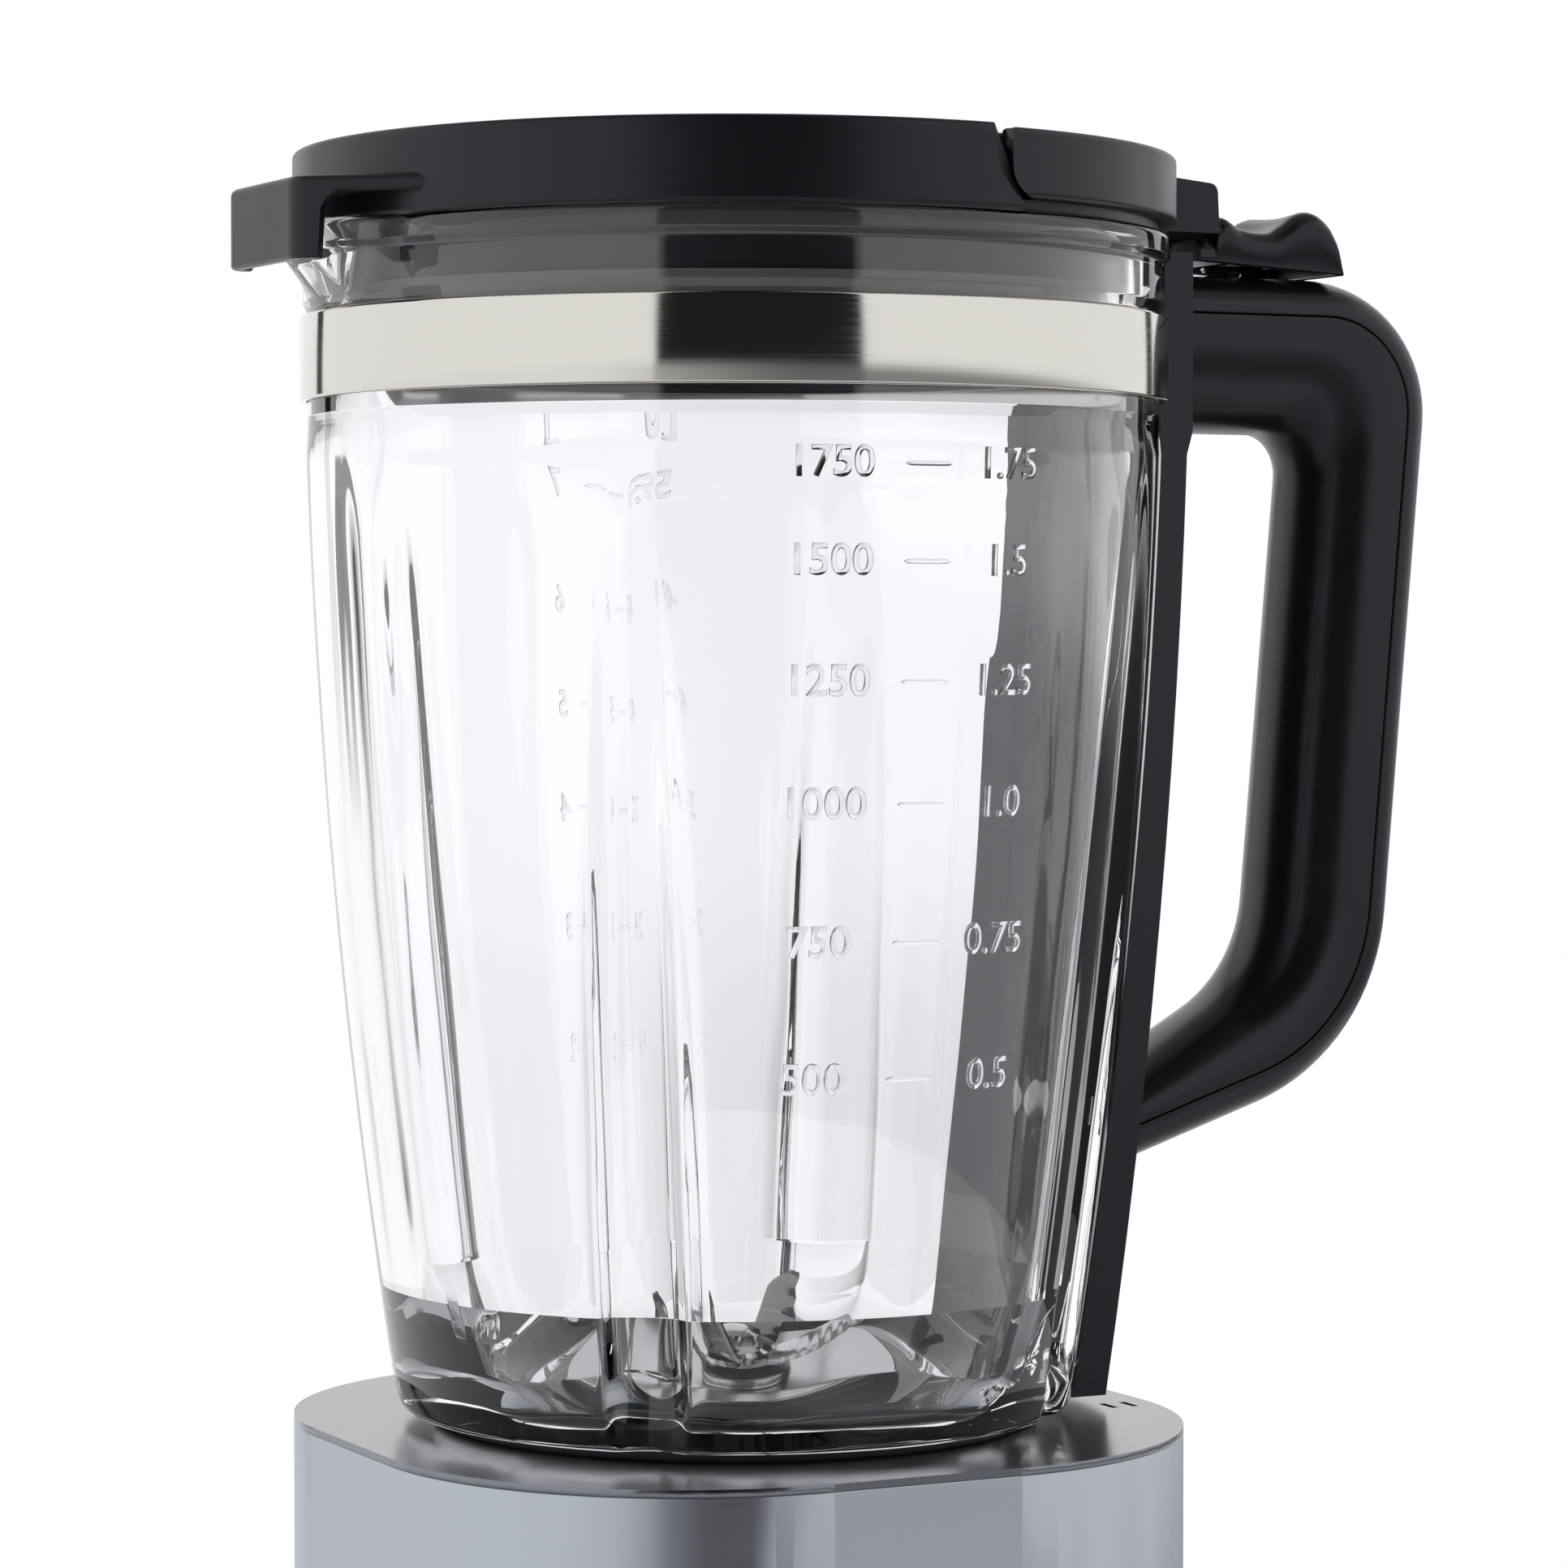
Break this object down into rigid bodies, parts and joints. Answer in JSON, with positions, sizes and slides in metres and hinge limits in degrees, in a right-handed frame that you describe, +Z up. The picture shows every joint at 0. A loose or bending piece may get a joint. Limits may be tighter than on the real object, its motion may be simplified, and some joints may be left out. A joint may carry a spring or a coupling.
{
  "type": "countertop blender",
  "caption": "Countertop blender: fluted glass jar with spout, thumb-lever handle, lid with filler cap and steel blades, on a motor base with a dial and buttons.",
  "frame": {"origin": "centre of the plane that the foot ring rests on, on the common axis of jar and motor", "axes": "+Z up along the jar's and motor's axis, +X towards the handle, -X towards the pouring spout, -Y towards the user and the controls"},
  "size_m": [0.2218, 0.1626, 0.3997],
  "materials": {
    "brushed_housing": "brushed satin",
    "top_plate": "smooth satin metallic",
    "base_plastic": "matt",
    "rubber": "matt",
    "fasteners": "zinc plated",
    "panel_plastic": "fine matt",
    "trim_steel": "polished",
    "dial_plastic": "satin",
    "button_plastic": "satin",
    "circuit_board": "solder mask",
    "switch_body": "matt",
    "motor_laminations": "stacked sheet",
    "copper": "enamelled wire and turned copper",
    "cast_aluminium": "die cast",
    "shaft_steel": "ground",
    "brass": "sintered or stamped",
    "carbon": "pressed carbon",
    "jar_glass": "clear pressed glass",
    "band_steel": "polished stainless",
    "silicone": "matt silicone",
    "hub_steel": "satin stainless",
    "handle_plastic": "satin",
    "handle_soft": "soft-touch satin",
    "liner_foam": "matt",
    "lever_plastic": "satin",
    "lid_plastic": "fine satin",
    "cap_plastic": "fine satin",
    "blade_steel": "ground stainless"
  },
  "bodies": {
    "base": {"base_housing": "brushed_housing", "base_top": "top_plate", "base_plate": "base_plastic", "foot_ring": "rubber", "base_screws": "fasteners", "seat_pad": "rubber", "control_panel": "panel_plastic", "dial_ring": "trim_steel", "control_board": "circuit_board", "speed_switch": "switch_body", "jar_sensor": "switch_body", "terminal_block": "switch_body", "cord_inlet": "rubber", "stator_core": "motor_laminations", "field_coils": "copper", "upper_bracket": "cast_aluminium", "lower_bracket": "cast_aluminium", "motor_bearings": "shaft_steel", "motor_bolts": "fasteners", "motor_mounts": "rubber", "mount_screws": "fasteners", "brush_holders": "brass", "carbon_brushes": "carbon", "fan_shroud": "base_plastic", "well_seal": "rubber"},
    "rotor": {"motor_shaft": "shaft_steel", "rotor_core": "motor_laminations", "commutator": "copper", "cooling_fan": "base_plastic", "drive_coupling": "rubber"},
    "dial": {"control_dial": "dial_plastic"},
    "left_button": {"button_left": "button_plastic"},
    "middle_button": {"button_middle": "button_plastic"},
    "right_button": {"button_right": "button_plastic"},
    "jar": {"glass_jar": "jar_glass", "neck_band": "band_steel", "floor_gasket": "silicone", "bearing_housing": "hub_steel", "shaft_bushes": "brass", "shaft_seal": "rubber", "clamp_washer": "silicone", "clamp_nut": "base_plastic", "handle_spine": "handle_plastic", "spine_liner": "liner_foam", "handle_grip": "handle_plastic", "handle_cover": "handle_soft", "handle_screws": "fasteners", "interlock_magnet": "shaft_steel", "lever_pin": "shaft_steel", "lever_spring": "shaft_steel"},
    "lever": {"thumb_lever": "lever_plastic"},
    "lid": {"lid_body": "lid_plastic", "lid_catch": "lid_plastic", "lid_seal": "silicone"},
    "cap": {"filler_cap": "cap_plastic"},
    "blades": {"blade_shaft": "shaft_steel", "lower_blade": "blade_steel", "upper_blade": "blade_steel", "blade_nut": "hub_steel", "driven_coupling": "rubber"}
  },
  "joints": [
    {"name": "motor_spin", "type": "hinge", "parent": "base", "child": "rotor", "pos_m": [0, 0, 0.1], "axis": [0, 0, 1], "continuous": true},
    {"name": "jar_lift", "type": "slide", "parent": "base", "child": "jar", "axis": [0, 0, 1], "range_m": [0, 0.06]},
    {"name": "blade_spin", "type": "hinge", "parent": "jar", "child": "blades", "pos_m": [0, 0, 0.19], "axis": [0, 0, 1], "continuous": true},
    {"name": "lid_lift", "type": "slide", "parent": "jar", "child": "lid", "axis": [0, 0, 1], "range_m": [0, 0.05]},
    {"name": "cap_lift", "type": "slide", "parent": "lid", "child": "cap", "axis": [0, 0, 1], "range_m": [0, 0.04]},
    {"name": "lever_press", "type": "hinge", "parent": "jar", "child": "lever", "pos_m": [0.111, 0, 0.3866], "axis": [0, -1, 0], "range_deg": [0, 3], "stiffness_Nm_per_rad": 0.3, "springref_deg": -5.73, "deforming": ["lever_spring"]},
    {"name": "dial_turn", "type": "hinge", "parent": "base", "child": "dial", "pos_m": [0, -0.0725, 0.092], "axis": [0, 1, 0], "range_deg": [-40, 140]},
    {"name": "left_button_press", "type": "slide", "parent": "base", "child": "left_button", "axis": [0, 1, 0], "range_m": [0, 0.0015], "stiffness_N_per_m": 400, "springref_m": -0.0015},
    {"name": "middle_button_press", "type": "slide", "parent": "base", "child": "middle_button", "axis": [0, 1, 0], "range_m": [0, 0.0015], "stiffness_N_per_m": 400, "springref_m": -0.0015},
    {"name": "right_button_press", "type": "slide", "parent": "base", "child": "right_button", "axis": [0, 1, 0], "range_m": [0, 0.0015], "stiffness_N_per_m": 400, "springref_m": -0.0015}
  ],
  "couplings": [
    {"joint": "blade_spin", "follows": "motor_spin", "ratio": 1}
  ]
}
